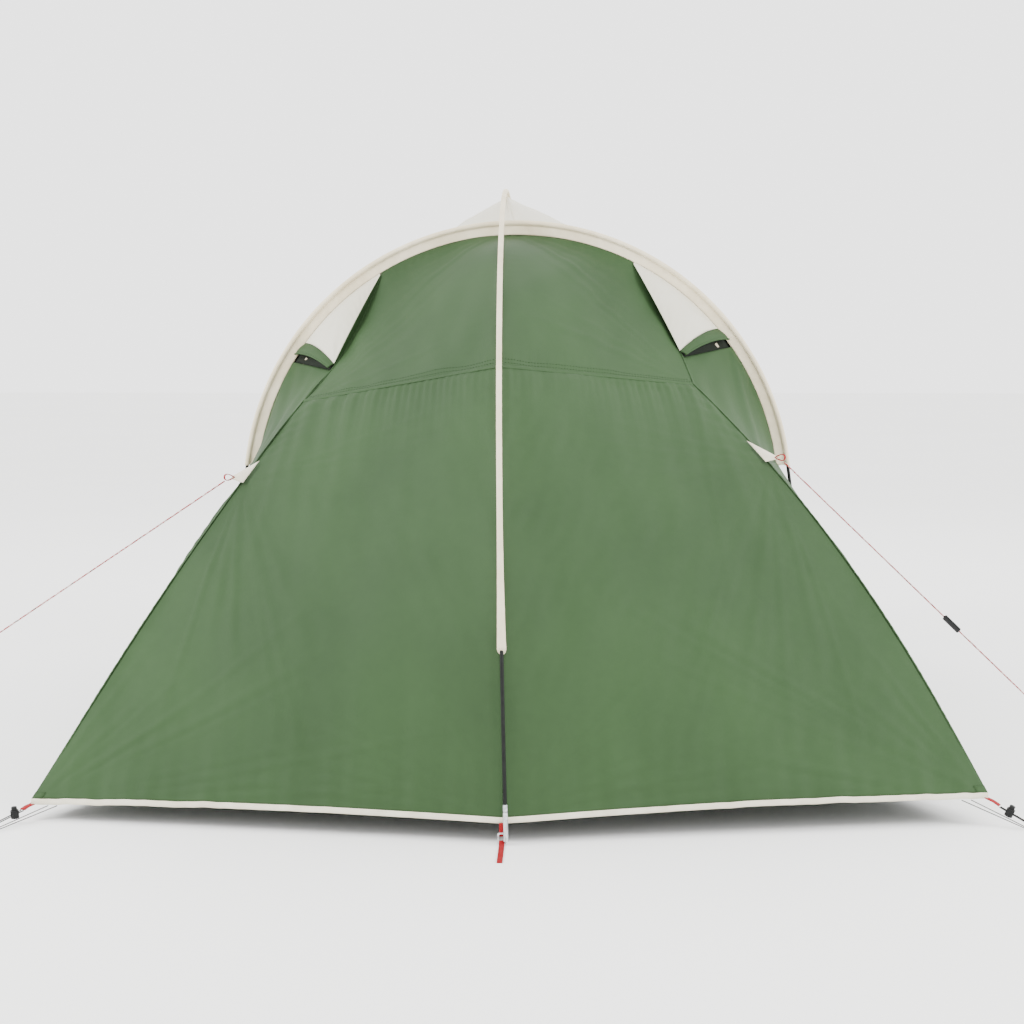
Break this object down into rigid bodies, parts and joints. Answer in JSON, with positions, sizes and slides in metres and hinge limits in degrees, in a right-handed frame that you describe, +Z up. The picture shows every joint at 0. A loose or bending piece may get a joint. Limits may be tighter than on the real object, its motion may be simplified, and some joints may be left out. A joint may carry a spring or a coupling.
{
  "type": "tent",
  "caption": "Tunnel tent with a leaning spine pole over two hoop poles, pitched fly with vents, folding door flap, inner tent, guy lines and pegs.",
  "frame": {"origin": "centre of the groundsheet's underside, on the ground", "axes": "+Y from the closed rear end to the door end, +X to the right seen from the rear, +Z up"},
  "size_m": [3.4132, 3.5012, 1.4109],
  "materials": {
    "green_fly_cloth": "coated polyester taffeta, satin",
    "light_fly_cloth": "coated polyester taffeta, satin",
    "trim_tape": "woven binding tape",
    "inner_cloth": "breathable polyester",
    "floor_cloth": "heavy coated floor cloth",
    "fibreglass": "pultruded fibreglass, gloss",
    "steel": "zinc plated",
    "guy_cord": "braided polyester cord",
    "red_webbing": "woven webbing",
    "black_cord": "braided elastic",
    "black_plastic": "moulded, fine texture",
    "prop_strip": "strip with hook tape",
    "zip_tape": "coil zip tape",
    "zip_metal": "enamelled zinc"
  },
  "bodies": {
    "tent": {"corner_elastic_left": "black_cord", "corner_elastic_right": "black_cord", "corner_webbings": "red_webbing", "floor_tie_left": "black_cord", "floor_tie_right": "black_cord", "fly_front_lower_left": "green_fly_cloth", "fly_front_lower_right": "green_fly_cloth", "fly_front_side_left": "green_fly_cloth", "fly_front_side_right": "green_fly_cloth", "fly_front_upper_left": "green_fly_cloth", "fly_front_upper_right": "green_fly_cloth", "fly_middle_side_left": "green_fly_cloth", "fly_middle_side_right": "green_fly_cloth", "fly_rear_lower_left": "green_fly_cloth", "fly_rear_lower_right": "green_fly_cloth", "fly_rear_side_left": "green_fly_cloth", "fly_rear_side_right": "green_fly_cloth", "fly_rear_upper_left": "green_fly_cloth", "fly_rear_upper_right": "green_fly_cloth", "fly_roof_left": "light_fly_cloth", "fly_roof_right": "light_fly_cloth", "foot_rings": "steel", "foot_webbings": "red_webbing", "front_hoop_pole": "fibreglass", "front_hoop_sleeve": "light_fly_cloth", "ground_pegs": "steel", "groundsheet": "floor_cloth", "guy_line_left": "guy_cord", "guy_line_right": "guy_cord", "guy_tabs": "trim_tape", "hem_tape": "trim_tape", "inner_front_wall": "inner_cloth", "inner_rear_wall": "inner_cloth", "inner_side_walls": "inner_cloth", "pole_ferrules": "steel", "pole_tips": "steel", "rear_hoop_pole": "fibreglass", "rear_hoop_sleeve": "light_fly_cloth", "spine_pole": "fibreglass", "spine_sleeve": "light_fly_cloth", "vent_hood_left": "light_fly_cloth", "vent_hood_right": "light_fly_cloth", "zip_tape_fixed": "zip_tape"},
    "door": {"door_flap": "green_fly_cloth", "door_hem": "trim_tape", "zip_tape_door": "zip_tape"},
    "zip_slider": {"zip_slider": "zip_metal"},
    "zip_pull": {"zip_pull": "zip_metal"},
    "vent_prop_left": {"vent_prop_left": "prop_strip"},
    "vent_prop_right": {"vent_prop_right": "prop_strip"},
    "guy_slider_left": {"guy_slider_left": "black_plastic"},
    "guy_slider_right": {"guy_slider_right": "black_plastic"},
    "cord_lock_left": {"cord_lock_left": "black_plastic"},
    "cord_lock_right": {"cord_lock_right": "black_plastic"},
    "lock_button_left": {"lock_button_left": "black_plastic"},
    "lock_button_right": {"lock_button_right": "black_plastic"}
  },
  "joints": [
    {"name": "door_swing", "type": "hinge", "parent": "tent", "child": "door", "pos_m": [0.022, 1.11678, 0.93624], "axis": [0.7411, 0.126, -0.6595], "range_deg": [0, 100]},
    {"name": "zip_travel", "type": "hinge", "parent": "tent", "child": "zip_slider", "pos_m": [0.022, 0.21557, 0.04364], "axis": [1, 0, 0], "range_deg": [0, 40]},
    {"name": "zip_pull_swing", "type": "hinge", "parent": "zip_slider", "child": "zip_pull", "pos_m": [0.0159, 1.4916, 0.0755], "axis": [1, 0, 0], "range_deg": [0, 150]},
    {"name": "vent_prop_left_fold", "type": "hinge", "parent": "tent", "child": "vent_prop_left", "pos_m": [-0.50975, -0.52439, 0.97524], "axis": [-0.7084, -0.563, 0.4257], "range_deg": [0, 70]},
    {"name": "vent_prop_right_fold", "type": "hinge", "parent": "tent", "child": "vent_prop_right", "pos_m": [0.48168, -0.52391, 1.01038], "axis": [-0.6448, 0.6168, -0.4515], "range_deg": [0, 70]},
    {"name": "guy_slider_left_travel", "type": "slide", "parent": "tent", "child": "guy_slider_left", "axis": [-0.8098, -0.2068, -0.549], "range_m": [-0.2, 0.2]},
    {"name": "guy_slider_right_travel", "type": "slide", "parent": "tent", "child": "guy_slider_right", "axis": [0.697, -0.2387, -0.6762], "range_m": [-0.2, 0.2]},
    {"name": "cord_lock_left_travel", "type": "slide", "parent": "tent", "child": "cord_lock_left", "axis": [-0.4718, -0.8681, -0.1541], "range_m": [-0.012, 0.012]},
    {"name": "lock_button_left_press", "type": "slide", "parent": "cord_lock_left", "child": "lock_button_left", "axis": [0.0736, 0.1354, -0.9881], "range_m": [0, 0.003], "stiffness_N_per_m": 350, "springref_m": -0.002},
    {"name": "cord_lock_right_travel", "type": "slide", "parent": "tent", "child": "cord_lock_right", "axis": [0.797, -0.4379, -0.416], "range_m": [-0.012, 0.012]},
    {"name": "lock_button_right_press", "type": "slide", "parent": "cord_lock_right", "child": "lock_button_right", "axis": [-0.3646, 0.2003, -0.9094], "range_m": [0, 0.003], "stiffness_N_per_m": 350, "springref_m": -0.002}
  ]
}
